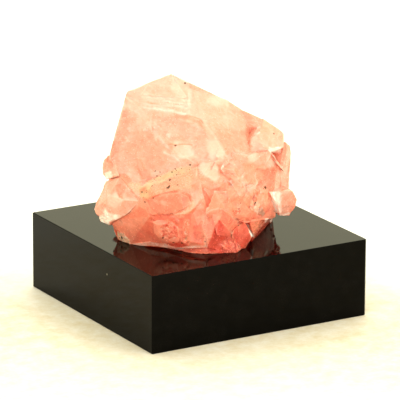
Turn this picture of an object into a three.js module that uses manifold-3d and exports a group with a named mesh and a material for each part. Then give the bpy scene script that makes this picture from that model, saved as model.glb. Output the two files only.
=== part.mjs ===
// A pink fluorite crystal cluster standing on a polished black display block.
//
// The cluster is one natural piece: a large cleaved crystal with flat faces, smaller crystals
// grown into its foot, flanks and back, and broken ledges between them. Sizes are millimetres,
// +Z up, and the origin is the centre of the block's underside, with its sides along X and Y.

import * as THREE from 'three';
import { ConvexGeometry } from 'three/addons/geometries/ConvexGeometry.js';
import { mergeVertices } from 'three/addons/utils/BufferGeometryUtils.js';
import Module from 'manifold-3d';

// ---- driving dimensions ----

const BLOCK_SIDE = 40;          // the block is square
const BLOCK_HEIGHT = 12.9;
const BLOCK_BEVEL = 0.12;       // its edges are only just broken
const BLOCK_SOFT_CORNER = 0.35; // one upright edge is more worn than the others

const CLUSTER_TURN = THREE.MathUtils.degToRad(-30.4); // the cluster faces a corner of the block
const SEAT = 0.3;               // the cluster's underside clears the block's top by this

const FRONT_FACE = [-0.137, -0.802, 0.582]; // the way the front-left face looks, an octahedral face
const SIDE_FACE = [0.85, -0.35, 0.4];       // roughly the way the next octahedral face looks
const CLEAVAGE_STEP = 0.2;      // height of one cleavage terrace on the upper face
const STEP_FADE = 0.35;         // the share of that height left at a terrace's right end
const TERRACE_ROOT = 1;         // how far a terrace reaches into the crystal
const TERRACE_END = 0.02;       // how far its upper end lies under the upper face

// Small crystals and breaks. Shares are of each one's own size.
const SCATTER_SEED = 7;
const MOSAIC = 0.16;            // small crystals stray from the lattice by up to this, radians
const BURIED = 0.64;            // a small crystal's centre lies this share inside the surface
const FACET_FOOT = 0.12;        // a broken facet's foot lies this share inside the surface
const FACET_CREST = 0.45;       // its crest is this share as wide as its foot
const FACET_LEAN = 0.25;        // its crest leans by up to this slope
const RAGGED = 0.25;            // its corners stray in and out by up to this share
const ROUGH_RISE = 0.17;        // its crest stands this share high: at the back
const GENTLE_RISE = 0.07;       // and on the right flank, where the breaks are low and smooth

// ---- solids ----

const wasm = await Module();
wasm.setup();

function solidFrom(geometry) {
  geometry.deleteAttribute('normal');
  geometry.deleteAttribute('uv');
  const merged = mergeVertices(geometry, 1e-5);
  const mesh = new wasm.Mesh({
    numProp: 3,
    vertProperties: new Float32Array(merged.attributes.position.array),
    triVerts: new Uint32Array(merged.index.array),
  });
  return new wasm.Manifold(mesh);
}

function geometryFrom(solid) {
  const mesh = solid.getMesh();
  const geometry = new THREE.BufferGeometry();
  geometry.setAttribute('position', new THREE.BufferAttribute(mesh.vertProperties, 3));
  geometry.setIndex(new THREE.BufferAttribute(mesh.triVerts, 1));
  return geometry;
}

// The same surface without the specks and sealed pockets that crossing chunks leave inside it:
// of the shells that share no corner, only the one with the most faces is kept.
function outerShell(geometry) {
  const { array } = geometry.index;
  const parent = Array.from({ length: geometry.attributes.position.count }, (_, k) => k);
  const rootOf = (k) => {
    let root = k;
    while (parent[root] !== root) root = parent[root];
    parent[k] = root;
    return root;
  };
  for (let i = 0; i < array.length; i += 3) {
    parent[rootOf(array[i + 1])] = rootOf(array[i]);
    parent[rootOf(array[i + 2])] = rootOf(array[i]);
  }
  const shells = new Map();
  for (let i = 0; i < array.length; i += 3) {
    const root = rootOf(array[i]);
    if (!shells.has(root)) shells.set(root, []);
    shells.get(root).push(array[i], array[i + 1], array[i + 2]);
  }
  const largest = [...shells.values()].reduce((a, b) => (a.length > b.length ? a : b));
  geometry.setIndex(largest);
  return geometry;
}

// The flat-faced solid around a list of [x, y, z] corners.
function chunk(corners) {
  return solidFrom(new ConvexGeometry(corners.map(([x, y, z]) => new THREE.Vector3(x, y, z))));
}

const join = (solids) => solids.reduce((sum, solid) => sum.add(solid));

// A repeatable stream of numbers from 0 to 1.
function seeded(seed) {
  let state = seed;
  return () => {
    state = (state * 1664525 + 1013904223) % 4294967296;
    return state / 4294967296;
  };
}

// ---- the large crystals and broken chunks, by their corners ----
// x is to the right, y is away from the front, z is height above the block's top.

const CHUNKS = {
  // The main crystal: an upper face that leans forward, a broad front-left face below it, a
  // broad front-right face, and a ridge that falls to the right.
  crown: [
    [-11.7, -1.5, 22.2], [-11.6, -0.9, 22.7], [-7.9, 0.4, 24.1], [-4.5, 1.5, 25.2],
    [-1.4, -0.2, 24.1], [1, 0.1, 22.9], [5.4, 0.5, 20.6], [6.9, 0.3, 19.7],
    [-8.6, -3, 20.8], [-2, -4.6, 20.3], [0.7, -5.9, 19.1], [2.8, -7.9, 16.9],
    [4.6, -10.2, 14.1], [8, -1.8, 17.6], [8.6, -7.7, 13.4],
    [-14.3, -7.1, 13.9], [-12.5, -9.4, 11.1], [-11.2, -10.5, 9.9],
    [-9.5, -9.5, 2], [1.5, -13, 1.5], [7, -10.5, 2], [9, -5, 4],
    [-9, 5, 20.2], [-2, 6.5, 19.6], [5, 5.5, 17], [-13.6, 2, 12.5], [-6.5, 8.8, 11],
    [5, 8.4, 10.5], [9.5, 4.5, 14], [-13.8, -4, 5],
    [-11.5, 3, 1.5], [-5, 7.5, 0], [5, 7.5, 0], [10.5, 4, 0],
  ],
  // The front of the foot: a flat ledge over a steep face, with a deeper face to its left.
  foot: [
    [-11.2, -10.3, 9.8], [-7.7, -10.3, 10.7], [-0.2, -9.8, 13.2],
    [-9.2, -13, 8.3], [-6.1, -14, 9.5], [-2.9, -14.5, 10.1], [-1.3, -14.5, 11],
    [-0.2, -13.5, 12.2], [0.3, -14, 11.7],
    [-8.3, -13.3, 7.4], [-7.6, -14, 5.8], [-3.7, -14.7, 6.6], [-1, -15.2, 7.2],
    [1.4, -15, 6.8], [0.8, -15.4, 3.6],
    [-14.1, -9, 3.6], [-12.9, -8.5, 1.4], [-12.9, -8.2, 0], [-10.9, -10.5, 0.2],
    [-7.7, -11.5, 1.1], [-5.3, -13.4, 0.6], [-1.3, -15.6, 1.1], [1.3, -15.8, 1.2],
    [1, -12, 0], [2, -8, 12], [-9, -4, 0],
  ],
  // The plinth under the front face, set back a little below its rim.
  frontRoot: [
    [-7.7, -10.5, 0], [-5.3, -12.4, 0], [-3.5, -13.8, 0], [-1.2, -15.2, 0], [1.1, -15.7, 0],
    [4.3, -14.8, 0], [6.4, -14.7, 0], [7.1, -13.3, 0], [8.4, -9, 0], [9.6, -5, 0],
    [1.1, -15.2, 2.5], [6, -13.5, 2.5], [-6, -10.5, 2.5], [8, -6, 4], [0, -4, 4],
  ],
  // Two low rounded crystals that swell out of the steep face of the foot.
  footSwell: [
    [-7.3, -14.4, 5], [-6, -14.5, 5.5], [-4.1, -14.6, 5.4], [-2.9, -14.8, 4.5],
    [-2.4, -15, 2.8], [-3.2, -15.1, 1.6], [-5.9, -14.6, 1.7], [-7.1, -14.4, 3.1],
    [-6.4, -14.9, 4.5], [-4.8, -14.9, 5.2], [-3.3, -15.1, 4.2], [-3.1, -15.3, 2.5],
    [-5.7, -15, 2.5], [-5, -13, 3],
  ],
  footSwellRight: [
    [-1.7, -14.9, 4.5], [-0.6, -14.9, 5.2], [0.5, -15, 4.9], [1, -15.2, 3.6], [1.3, -15.5, 1.9],
    [0.3, -15.5, 1.2], [-1.6, -15.4, 1.3], [-2.1, -15.1, 3.1], [-1.2, -15.3, 4.2], [0, -15.4, 4.6],
    [0.7, -15.5, 3.4], [0.9, -15.8, 2.1], [-1.5, -15.7, 2.1], [-0.5, -13, 3],
  ],
  // A rounded orange lens that stands out of the steep face under the ledge.
  lens: [
    [-7.7, -13.4, 8.2], [-6.1, -14.2, 9.4], [-4.5, -14.6, 9.8], [-2.9, -14.8, 10],
    [-1.4, -14.9, 9.3], [-1.1, -15.3, 8.3], [-2.2, -15.5, 7.5], [-3.7, -15.2, 6.7],
    [-5.6, -14.8, 6.4], [-7.4, -14.2, 6.1], [-8.1, -13.5, 7.2], [-4, -11, 8],
  ],
  // The curved pale rib that frames the lens on its right.
  rib: [
    [-0.2, -13.6, 12.2], [0.4, -14.2, 11.6], [0.2, -15.2, 8.9], [-0.6, -15.7, 7.7],
    [-2.2, -15.5, 6.6], [-4.2, -14.9, 6.2], [-0.8, -15.2, 6.6], [1, -14.6, 9], [-1, -12, 8],
  ],
  // The pale glassy lobe that overhangs the block at the left.
  leftLobe: [
    [-14.9, -6.5, 9.4], [-12.5, -9.3, 10.9], [-16.3, -7.5, 6.3], [-16.7, -8, 5.1],
    [-15.8, -8, 3.1], [-14.2, -8.5, 2.5], [-13.9, -9.4, 3.3], [-12.1, -12, 7.9],
    [-9.3, -12.7, 7.9], [-11.2, -11.9, 5.6], [-12.8, -10.7, 4.6], [-15.7, -9, 5.3],
    [-14.1, -10.5, 8.2], [-10, -6, 4], [-10, -6, 10], [-13, -4, 6],
  ],
  // The small crumbly crystal above it.
  leftKnob: [
    [-14.4, -5.6, 13.6], [-15.2, -5.5, 12.6], [-15.5, -5.6, 11.5], [-15.4, -5.9, 10.6],
    [-14.9, -6.4, 9.6], [-12.7, -9.2, 11], [-13.2, -8.3, 12.6], [-13.9, -8.3, 11.5],
    [-11, -5, 10], [-12, -3, 11],
  ],
  // The pale crystal at the right end of the ridge.
  rightShoulder: [
    [10.3, -0.5, 18.3], [11.6, -0.8, 17.6], [13.2, -1.5, 16.7], [13.9, -1.5, 16.1],
    [13.8, -3, 14.2], [11.5, -5, 14.6], [8.6, -5.3, 16.3], [9.9, -3.9, 16.9],
    [6, -2, 15], [8, 2, 16], [12.5, 2.5, 14.5], [10, -1, 11], [8, -6.4, 13],
  ],
  // The ridge piece between the main crystal and that one, set lower.
  rightRidge: [
    [6.9, 0.6, 19.4], [8.3, 0.1, 18.9], [10.3, -0.5, 18.2], [10, -2.5, 17.4], [8, -2.2, 17.5],
    [6, 3, 16], [10.5, 2.8, 15], [5, -1, 14], [9, -2, 12],
  ],
  // The outer flank behind the right shoulder.
  outerFlank: [
    [13.9, -1, 14.6], [14.9, 0, 13.7], [15.1, 0, 12.9], [14.5, -1, 11.8], [14.5, -2, 10.1],
    [14.7, -3, 7.3], [13.6, -4.2, 7], [13.2, -4.2, 11], [12, 5, 12.5], [13.6, 3.5, 8],
    [12, -1, 4.5], [12.5, 4.5, 3], [6, 0, 12], [6, 0, 3],
  ],
  // The broken mass under the right shoulder.
  rightFlank: [
    [8.6, -7.6, 13.3], [11.5, -5.2, 14.3], [13.3, -4.3, 11], [12.4, -6, 9.2],
    [11.2, -7.5, 8.3], [9.1, -9.8, 6.5], [8.3, -11, 4.2], [10.3, -9, 3.7], [12.4, -7, 3.5],
    [5.9, -11.5, 11.9], [6.7, -12.1, 8.8], [5.5, -13.1, 5.2], [7.5, -12.1, 4.1],
    [4.6, -10.1, 14], [10.8, -8.3, 5.6], [12.6, -6.6, 5], [13.3, -5.4, 7],
    [5, -5, 3], [11, 0, 3], [12, 0, 12], [5, -5, 14],
  ],
  // The middle of the front, between the ledge and the right flank.
  frontMiddle: [
    [-0.2, -9.8, 13.2], [2.2, -9.8, 13.9], [4.6, -10.1, 14], [5.9, -11.5, 11.9],
    [6.7, -12, 8.8], [7.6, -12, 4.4], [5.4, -13.3, 5.3], [3.8, -14.2, 6.8], [2.7, -14.4, 7.2],
    [1.4, -14.8, 6.8], [0.3, -14, 11.7], [1.9, -14, 10.2], [3.5, -13, 10.9],
    [0, -8, 6], [6, -8, 6], [2, -6, 12],
  ],
  // The rounded lobe that juts out at the right, clear of the block.
  rightLobe: [
    [13.2, -6.5, 8], [14.8, -5.5, 7.7], [15.3, -5, 7.4], [16.1, -5, 5.9], [15.8, -5.5, 5.1],
    [14.8, -6, 3.6], [13.2, -7, 3.8], [12.9, -7.6, 5.8], [11.4, -7.6, 8],
    [9, -3, 6], [12, 0, 4.5], [13, -2, 8.2], [14.5, -2.5, 5],
  ],
  // The front-right crystal: a narrow lit face beside a dark face that falls away under it.
  rightProw: [
    [1.4, -15, 6.8], [2.7, -14.5, 7.2], [3.8, -14.3, 6.8], [3.3, -15.2, 5.2], [1.6, -15.9, 1.1],
    [0.8, -15.4, 3.6], [4.3, -14.2, 0.3], [5.6, -13.4, 3.3], [4.8, -13.9, 4.2],
    [5.4, -13.4, 5.1], [2, -9, 8], [2, -9, 0.3], [7, -9, 3],
  ],
  // Its neighbour at the front-right corner of the foot.
  rightToe: [
    [5.6, -13.9, 3.5], [6.4, -13.4, 4], [7.5, -12.2, 4.2], [8.3, -12, 2.6], [8.8, -11.3, 1.8],
    [7.4, -12.6, 0], [6.4, -13.6, 0.9], [5.4, -14.1, 2.4], [6.2, -13.6, 0],
    [4, -9, 4], [4, -9, 0], [8, -7, 2],
  ],
  // The low brown-red corner behind the toe.
  rightHeel: [
    [8.3, -11, 4.2], [10.3, -9, 3.7], [10.6, -7, 2.3], [9.5, -9, 1.7], [8.9, -10.3, 1.8],
    [8.6, -8.6, 0], [9.6, -5, 0], [10.9, -4, 1.8], [10.6, -2, 0], [12.4, -2, 3],
    [6, -6, 0], [6, -6, 4], [12, 3.5, 0], [12.5, 3, 3],
  ],
};

// The cleavage terraces: thin wedges laid on the upper face, thickest at their lower edge. Each is
// given by the two ends of that edge; all of them run up to the ridge.
const TERRACE_EDGES = [
  [[-11, -1.8, 21], [-1.5, -4.2, 20.7]],
  [[-10.2, -1.5, 21.4], [-1.9, -3.5, 21.3]],
  [[-9.4, -1.1, 22], [-1.7, -2.6, 22.1]],
];
const TERRACE_TOP = [[-7.9, 0.4, 24.1], [-4.5, 1.5, 25.2]];
const UPPER_FACE_NORMAL = [-0.054, -0.639, 0.767];

// ---- crystals at the back and the sides, by centre, size and turn about z ----

const BACK_CRYSTALS = [
  { at: [-6.5, 3.2, 8.5], size: 7, spin: 0.2 },
  { at: [4.5, 3.2, 7.5], size: 6.8, spin: -0.25 },
  { at: [9, 1.8, 9], size: 5.2, spin: 0.1 },
  { at: [-1, 4.2, 13.5], size: 5.4, spin: 0.05 },
  { at: [-10.2, 1.5, 4.5], size: 4.2, spin: 0.3 },
  { at: [-8.4, 2.8, 14.5], size: 4.4, spin: -0.1 },
  { at: [-1, 6, 3.5], size: 4.4, spin: -0.3 },
  { at: [6, 2, 14], size: 4.2, spin: 0.3 },
];

// The turn that lays an octahedron's faces along the cluster's own cleavage.
function latticeTurn() {
  const front = new THREE.Vector3(...FRONT_FACE).normalize();
  const guess = new THREE.Vector3(...SIDE_FACE);
  const across = guess.addScaledVector(front, -guess.dot(front)).normalize();
  const side = front.clone().multiplyScalar(1 / 3).addScaledVector(across, Math.sqrt(8) / 3);
  const third = front.clone().sub(side).normalize();
  const middle = front.clone().add(side).normalize();
  const cross = third.clone().cross(middle);
  const first = middle.clone().add(cross).normalize();
  const second = middle.clone().sub(cross).normalize();
  return new THREE.Matrix4().makeBasis(first, second, third.negate());
}

const LATTICE = latticeTurn();

function octahedron(centre, size, strays) {
  const geometry = new THREE.OctahedronGeometry(size);
  const stray = new THREE.Matrix4().makeRotationFromEuler(new THREE.Euler(...strays));
  geometry.applyMatrix4(LATTICE).applyMatrix4(stray).translate(...centre);
  return solidFrom(geometry);
}

// ---- small crystals, broken facets and pits, scattered over zones of the surface ----
// A zone is a box of the surface, the way its surface faces, how many grow there, their sizes and,
// for a facet or a pit, how far it rises or sinks as a share of its size. A pit is a broken facet
// turned over, so it is cut from the surface.

const OCTAHEDRON_ZONES = [
  { low: [1, -13, 6], high: [9, -8, 12], faces: [0.4, -0.8, 0.3], count: 2, sizes: [1.2, 1.7] },
  { low: [10, 0, 1], high: [13.2, 6, 12], faces: [1, 0.4, 0], count: 5, sizes: [1.4, 2.1] },
  { low: [-12, 3, 0.5], high: [12, 8.5, 18], faces: [0, 1, 0.1], count: 12, sizes: [1.6, 3] },
  { low: [-14, 0, 1], high: [-9, 6, 12], faces: [-1, 0.4, 0], count: 4, sizes: [1.2, 2.2] },
];

const FACET_ZONES = [
  { low: [0.5, -14.6, 5.5], high: [12.6, -4, 12.8], faces: [0.4, -0.8, 0.3], count: 18,
    sizes: [2, 3.6], rise: GENTLE_RISE },
  { low: [3.5, -12, 12.6], high: [12.2, -4, 15], faces: [0.4, -0.7, 0.5], count: 6,
    sizes: [1.4, 2.6], rise: GENTLE_RISE },
  { low: [0, -15, 5], high: [12.6, -3, 13], faces: [0.4, -0.8, 0.2], count: 3,
    sizes: [0.9, 1.3], rise: GENTLE_RISE },
  { low: [10, -4, 1], high: [14.2, 6, 12], faces: [1, 0.2, 0], count: 16,
    sizes: [1.2, 2.6], rise: GENTLE_RISE },
  { low: [-12, 3, 0.5], high: [12, 8.6, 18], faces: [0, 1, 0.1], count: 30,
    sizes: [1.2, 3.4], rise: ROUGH_RISE },
  { low: [-14, 1, 1], high: [-6, 8.6, 15], faces: [-1, 0.4, 0.2], count: 16,
    sizes: [1.2, 3], rise: ROUGH_RISE },
];

const PIT_ZONES = [
  { low: [3, -14, 5.5], high: [12.6, -4, 13], faces: [0.5, -0.8, 0.1], count: 4,
    sizes: [1.3, 2.1], rise: GENTLE_RISE },
  { low: [-12, 3, 1], high: [12, 14, 19], faces: [0, 1, 0], count: 14,
    sizes: [1, 2.4], rise: ROUGH_RISE },
  { low: [-16, 1, 1], high: [-6, 9, 19], faces: [-1, 0.4, 0.2], count: 8,
    sizes: [1, 2], rise: ROUGH_RISE },
];

const LEAST_FACING = 0.25;      // a face counts as facing a zone's way above this cosine
const MOST_TRIES = 4000;        // points tried before a zone is left with fewer

// Points spread evenly over the part of a surface that lies in a zone.
function pointsOn(geometry, zone, random) {
  const { position } = geometry.attributes;
  const { index } = geometry;
  const box = new THREE.Box3(new THREE.Vector3(...zone.low), new THREE.Vector3(...zone.high));
  const facing = new THREE.Vector3(...zone.faces).normalize();
  const found = [];
  let area = 0;
  for (let i = 0; i < index.count; i += 3) {
    const corners = [0, 1, 2].map((k) => (
      new THREE.Vector3().fromBufferAttribute(position, index.getX(i + k))));
    const triangle = new THREE.Triangle(...corners);
    const normal = triangle.getNormal(new THREE.Vector3());
    if (normal.dot(facing) < LEAST_FACING) continue;
    area += triangle.getArea();
    found.push({ triangle, normal, area });
  }
  const points = [];
  for (let tries = 0; points.length < zone.count && tries < MOST_TRIES; tries += 1) {
    const pick = random() * area;
    const { triangle, normal } = found.find((entry) => entry.area >= pick);
    let [s, t] = [random(), random()];
    if (s + t > 1) [s, t] = [1 - s, 1 - t];
    const point = triangle.a.clone().multiplyScalar(1 - s - t)
      .addScaledVector(triangle.b, s).addScaledVector(triangle.c, t);
    if (box.containsPoint(point)) points.push({ point, normal });
  }
  return points;
}

function scatter(geometry, zones, random, make) {
  return zones.flatMap((zone) => pointsOn(geometry, zone, random).map(({ point, normal }) => {
    const [least, most] = zone.sizes;
    return make(point, normal, least + (most - least) * random() ** 2, random, zone.rise);
  }));
}

const ANY_WAY = new THREE.Vector3(0.3, 0.5, 0.8); // no face of the crystal looks this way
const FOOT_CORNERS = 6;
const CREST_CORNERS = 4;
const CORNER_STRAY = 0.7;       // a corner strays round its ring by up to this share of a step

function smallOctahedron(point, normal, size, random) {
  const strays = [0, 0, 0].map(() => MOSAIC * (2 * random() - 1));
  const centre = point.clone().addScaledVector(normal, -BURIED * size);
  return octahedron(centre.toArray(), size, strays);
}

// A low irregular hump with flat sides: a wide ring of corners under the surface and a narrow one
// above it, or with side -1 a hollow of the same form.
function brokenFacet(point, normal, size, random, crest, side = 1) {
  const across = ANY_WAY.clone().cross(normal).normalize();
  const along = normal.clone().cross(across);
  const lean = [FACET_LEAN * (2 * random() - 1), FACET_LEAN * (2 * random() - 1)];
  const ring = (count, radius, height) => Array.from({ length: count }, (_, k) => {
    const angle = (k + CORNER_STRAY * random()) * 2 * Math.PI / count;
    const reach = radius * (1 + RAGGED * (2 * random() - 1));
    const [u, v] = [reach * Math.cos(angle), reach * Math.sin(angle)];
    const rise = side * (height + lean[0] * u + lean[1] * v);
    return point.clone().addScaledVector(across, u).addScaledVector(along, v)
      .addScaledVector(normal, rise).toArray();
  });
  const foot = ring(FOOT_CORNERS, size, -FACET_FOOT * size);
  return chunk([...foot, ...ring(CREST_CORNERS, FACET_CREST * size, crest * size)]);
}

const facetPit = (point, normal, size, random, depth) => (
  brokenFacet(point, normal, size, random, depth, -1));

// ---- the cluster ----

const CUT_SIDE = 60;            // the box that cuts the cluster off flat above the block
const CUT_DEPTH = 20;

function terraces() {
  const shift = ([x, y, z], by) => (
    [x, y, z].map((value, k) => value + by * UPPER_FACE_NORMAL[k]));
  return TERRACE_EDGES.map((edge, k) => {
    const rise = CLEAVAGE_STEP * (k + 1);
    return chunk([
      shift(edge[0], rise), shift(edge[1], STEP_FADE * rise),
      ...edge.map((end) => shift(end, -TERRACE_ROOT)),
      ...TERRACE_TOP.map((end) => shift(end, -TERRACE_END)),
      ...TERRACE_TOP.map((end) => shift(end, -TERRACE_ROOT)),
    ]);
  });
}

function cluster() {
  const random = seeded(SCATTER_SEED);
  const large = Object.values(CHUNKS).map(chunk);
  const back = BACK_CRYSTALS.map(({ at, size, spin }) => octahedron(at, size, [0, 0, spin]));
  let body = join([...large, ...terraces(), ...back]);
  const bare = geometryFrom(body);
  body = join([body, ...scatter(bare, OCTAHEDRON_ZONES, random, smallOctahedron),
    ...scatter(bare, FACET_ZONES, random, brokenFacet)]);
  for (const pit of scatter(bare, PIT_ZONES, random, facetPit)) body = body.subtract(pit);
  const below = new THREE.BoxGeometry(CUT_SIDE, CUT_SIDE, CUT_DEPTH);
  below.translate(0, 0, SEAT - CUT_DEPTH / 2);
  return body.subtract(solidFrom(below));
}

// ---- the display block ----

function displayBlock() {
  const half = BLOCK_SIDE / 2;
  const bevels = [BLOCK_BEVEL, BLOCK_SOFT_CORNER, BLOCK_BEVEL, BLOCK_BEVEL];
  const outline = (inset) => {
    const corners = [[1, 1], [1, -1], [-1, -1], [-1, 1]];
    return corners.flatMap(([sx, sy], k) => {
      const cut = bevels[k];
      const edge = half - inset;
      return [[sx * edge, sy * (edge - cut)], [sx * (edge - cut), sy * edge]];
    });
  };
  const levels = [
    [BLOCK_BEVEL, 0], [0, BLOCK_BEVEL], [0, BLOCK_HEIGHT - BLOCK_BEVEL],
    [BLOCK_BEVEL, BLOCK_HEIGHT],
  ];
  return chunk(levels.flatMap(([inset, z]) => outline(inset).map(([x, y]) => [x, y, z])));
}

// ---- materials and assembly ----

const fluorite = new THREE.MeshStandardMaterial({ color: 0xf5a58a, roughness: 0.25 });
const polishedBlack = new THREE.MeshStandardMaterial({ color: 0x0b0a09, roughness: 0.08 });

const specimen = new THREE.Group();

const block = new THREE.Mesh(geometryFrom(displayBlock()), polishedBlack);
block.name = 'display_block';
specimen.add(block);

const crystal = new THREE.Mesh(outerShell(geometryFrom(cluster())), fluorite);
crystal.name = 'fluorite_cluster';
const seat = new THREE.Group();
seat.position.z = BLOCK_HEIGHT;
seat.rotation.z = CLUSTER_TURN;
seat.add(crystal);
specimen.add(seat);

export default specimen;
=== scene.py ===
import math

import bpy
import numpy as np
from mathutils import Matrix, Vector


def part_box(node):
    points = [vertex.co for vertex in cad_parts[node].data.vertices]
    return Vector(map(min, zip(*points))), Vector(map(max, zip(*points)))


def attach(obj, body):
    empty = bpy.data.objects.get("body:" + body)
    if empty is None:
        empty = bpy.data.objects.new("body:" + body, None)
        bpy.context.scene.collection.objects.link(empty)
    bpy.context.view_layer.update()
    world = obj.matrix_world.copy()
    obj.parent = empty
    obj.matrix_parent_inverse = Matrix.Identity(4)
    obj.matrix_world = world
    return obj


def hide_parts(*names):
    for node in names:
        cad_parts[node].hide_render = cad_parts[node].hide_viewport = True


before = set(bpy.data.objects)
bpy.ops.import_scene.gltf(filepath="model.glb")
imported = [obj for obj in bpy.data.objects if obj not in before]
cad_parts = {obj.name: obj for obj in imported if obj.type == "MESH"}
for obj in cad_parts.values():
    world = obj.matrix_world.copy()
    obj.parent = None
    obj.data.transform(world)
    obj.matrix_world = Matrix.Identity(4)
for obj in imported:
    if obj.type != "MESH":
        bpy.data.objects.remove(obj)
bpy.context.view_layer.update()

MM = 0.001
BLOCK_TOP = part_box("display_block")[1].z

# The view of the photo, from a camera fitted to the corners of the block.
PHOTO_PIXELS = 400  # its width and its height
VIEW_AZIMUTH = math.radians(30.412)  # clockwise from +Y, seen from above
VIEW_ELEVATION = math.radians(16.582)
VIEW_ROLL = math.radians(-0.263)
VIEW_AIM = (18.632, 31.136, 6.45)  # in millimetres
VIEW_DISTANCE = 642.24  # in millimetres
FOCAL_PIXELS = 3709.5
SENSOR_WIDTH = 36
CLUSTER_TURN = -VIEW_AZIMUTH  # the cluster faces the camera


# ---------------------------------------------------------------- node helpers
class Nodes:
    """A small builder for one node tree."""

    def __init__(self, tree):
        self.tree = tree

    def add(self, kind, **values):
        node = self.tree.nodes.new(kind)
        for name, value in values.items():
            if hasattr(node, name):
                setattr(node, name, value)
            else:
                node.inputs[name].default_value = value
        return node

    def link(self, out, into):
        self.tree.links.new(out, into)

    def math(self, operation, a, b=0.0, clamp=False):
        node = self.tree.nodes.new("ShaderNodeMath")
        node.operation = operation
        node.use_clamp = clamp
        for i, value in enumerate((a, b)):
            if isinstance(value, (int, float)):
                node.inputs[i].default_value = value
            else:
                self.link(value, node.inputs[i])
        return node.outputs[0]

    def times(self, a, b, clamp=False):
        return self.math("MULTIPLY", a, b, clamp)

    def plus(self, a, b):
        return self.math("ADD", a, b)

    def ramp(self, value, stops, interpolation="LINEAR"):
        node = self.tree.nodes.new("ShaderNodeValToRGB")
        node.color_ramp.interpolation = interpolation
        elements = node.color_ramp.elements
        while len(elements) < len(stops):
            elements.new(0.5)
        for element, (position, colour) in zip(elements, stops):
            element.position = position
            element.color = (*colour, 1) if isinstance(colour, tuple) else (colour,) * 3 + (1,)
        self.link(value, node.inputs[0])
        return node.outputs[0]

    def mix(self, factor, a, b):
        node = self.tree.nodes.new("ShaderNodeMix")
        node.data_type = "RGBA"
        for socket, value in ((node.inputs[0], factor), (node.inputs[6], a), (node.inputs[7], b)):
            if isinstance(value, (int, float)):
                socket.default_value = value
            elif isinstance(value, tuple):
                socket.default_value = (*value, 1)
            else:
                self.link(value, socket)
        return node.outputs[2]

    def noise(self, vector, scale, detail=2.0, roughness=0.5, distortion=0.0):
        node = self.add("ShaderNodeTexNoise")
        node.inputs["Scale"].default_value = scale
        node.inputs["Detail"].default_value = detail
        node.inputs["Roughness"].default_value = roughness
        node.inputs["Distortion"].default_value = distortion
        self.link(vector, node.inputs["Vector"])
        return node.outputs["Fac"]

    def voronoi(self, vector, scale):
        node = self.add("ShaderNodeTexVoronoi")
        node.inputs["Scale"].default_value = scale
        self.link(vector, node.inputs["Vector"])
        return node.outputs["Distance"]


def material(name):
    mat = bpy.data.materials.new(name)
    mat.use_nodes = True
    nodes = Nodes(mat.node_tree)
    shader = mat.node_tree.nodes["Principled BSDF"]
    return mat, nodes, shader


# ---------------------------------------------------------------- camera
def view_axes(azimuth):
    """The directions to the side, to the top and forward of a view at this azimuth."""
    forward = np.array((
        math.sin(azimuth) * math.cos(VIEW_ELEVATION),
        math.cos(azimuth) * math.cos(VIEW_ELEVATION),
        -math.sin(VIEW_ELEVATION),
    ))
    right = np.array((math.cos(azimuth), -math.sin(azimuth), 0))
    up = np.cross(right, forward)
    side = right * math.cos(VIEW_ROLL) - up * math.sin(VIEW_ROLL)
    top = right * math.sin(VIEW_ROLL) + up * math.cos(VIEW_ROLL)
    return side, top, forward


def photo_camera():
    side, top, forward = view_axes(VIEW_AZIMUTH)
    camera = bpy.data.objects.new("camera", bpy.data.cameras.new("camera"))
    camera.data.sensor_width = SENSOR_WIDTH
    camera.data.sensor_fit = "HORIZONTAL"
    camera.data.lens = FOCAL_PIXELS / PHOTO_PIXELS * SENSOR_WIDTH
    camera.data.clip_start, camera.data.clip_end = 0.01, 20
    place = Vector((np.array(VIEW_AIM) - forward * VIEW_DISTANCE) * MM)
    basis = Matrix(np.stack((side, top, -forward), 1).tolist()).to_4x4()
    camera.matrix_world = Matrix.Translation(place) @ basis
    bpy.context.scene.collection.objects.link(camera)
    bpy.context.scene.camera = camera


photo_camera()


# ---------------------------------------------------------------- floor and light
FLOOR_HALF = 4.0  # half its side, in metres


def floor():
    mat, nodes, shader = material("pale_card")
    coords = nodes.add("ShaderNodeTexCoord").outputs["Object"]
    depth = nodes.add("ShaderNodeVectorMath")
    depth.operation = "DOT_PRODUCT"
    depth.inputs[1].default_value = (math.sin(VIEW_AZIMUTH), math.cos(VIEW_AZIMUTH), 0)
    nodes.link(coords, depth.inputs[0])
    wander = nodes.times(nodes.math("SUBTRACT", nodes.noise(coords, 40, 3), 0.5), 0.03)
    band = nodes.plus(nodes.plus(depth.outputs["Value"], wander), 0.1)
    # The card is painted whiter beyond the block, away from the camera: painted light standing in for the
    # back light on the far card. Nearer, a cream band runs across round the block.
    cream = nodes.ramp(nodes.times(band, 5.0), [
        (0.0, 0.3), (0.22, 0.5), (0.4, 1.0), (0.5, 0.9), (0.62, 0.12), (0.75, 0.0),
    ])
    grain = nodes.ramp(nodes.noise(coords, 350, 6, 0.75), [(0.35, 1.0), (0.65, 0.45)])
    tone = nodes.mix(nodes.times(cream, grain), (0.93, 0.92, 0.9), (0.74, 0.645, 0.47))
    nodes.link(tone, shader.inputs["Base Color"])
    shader.inputs["Roughness"].default_value = 0.85
    shader.inputs["Specular IOR Level"].default_value = 0.1
    mesh = bpy.data.meshes.new("floor")
    corners = [(x * FLOOR_HALF, y * FLOOR_HALF, 0) for x, y in ((-1, -1), (1, -1), (1, 1), (-1, 1))]
    mesh.from_pydata(corners, [], [(0, 1, 2, 3)])
    obj = bpy.data.objects.new("floor", mesh)
    obj.data.materials.append(mat)
    bpy.context.scene.collection.objects.link(obj)


floor()


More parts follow.
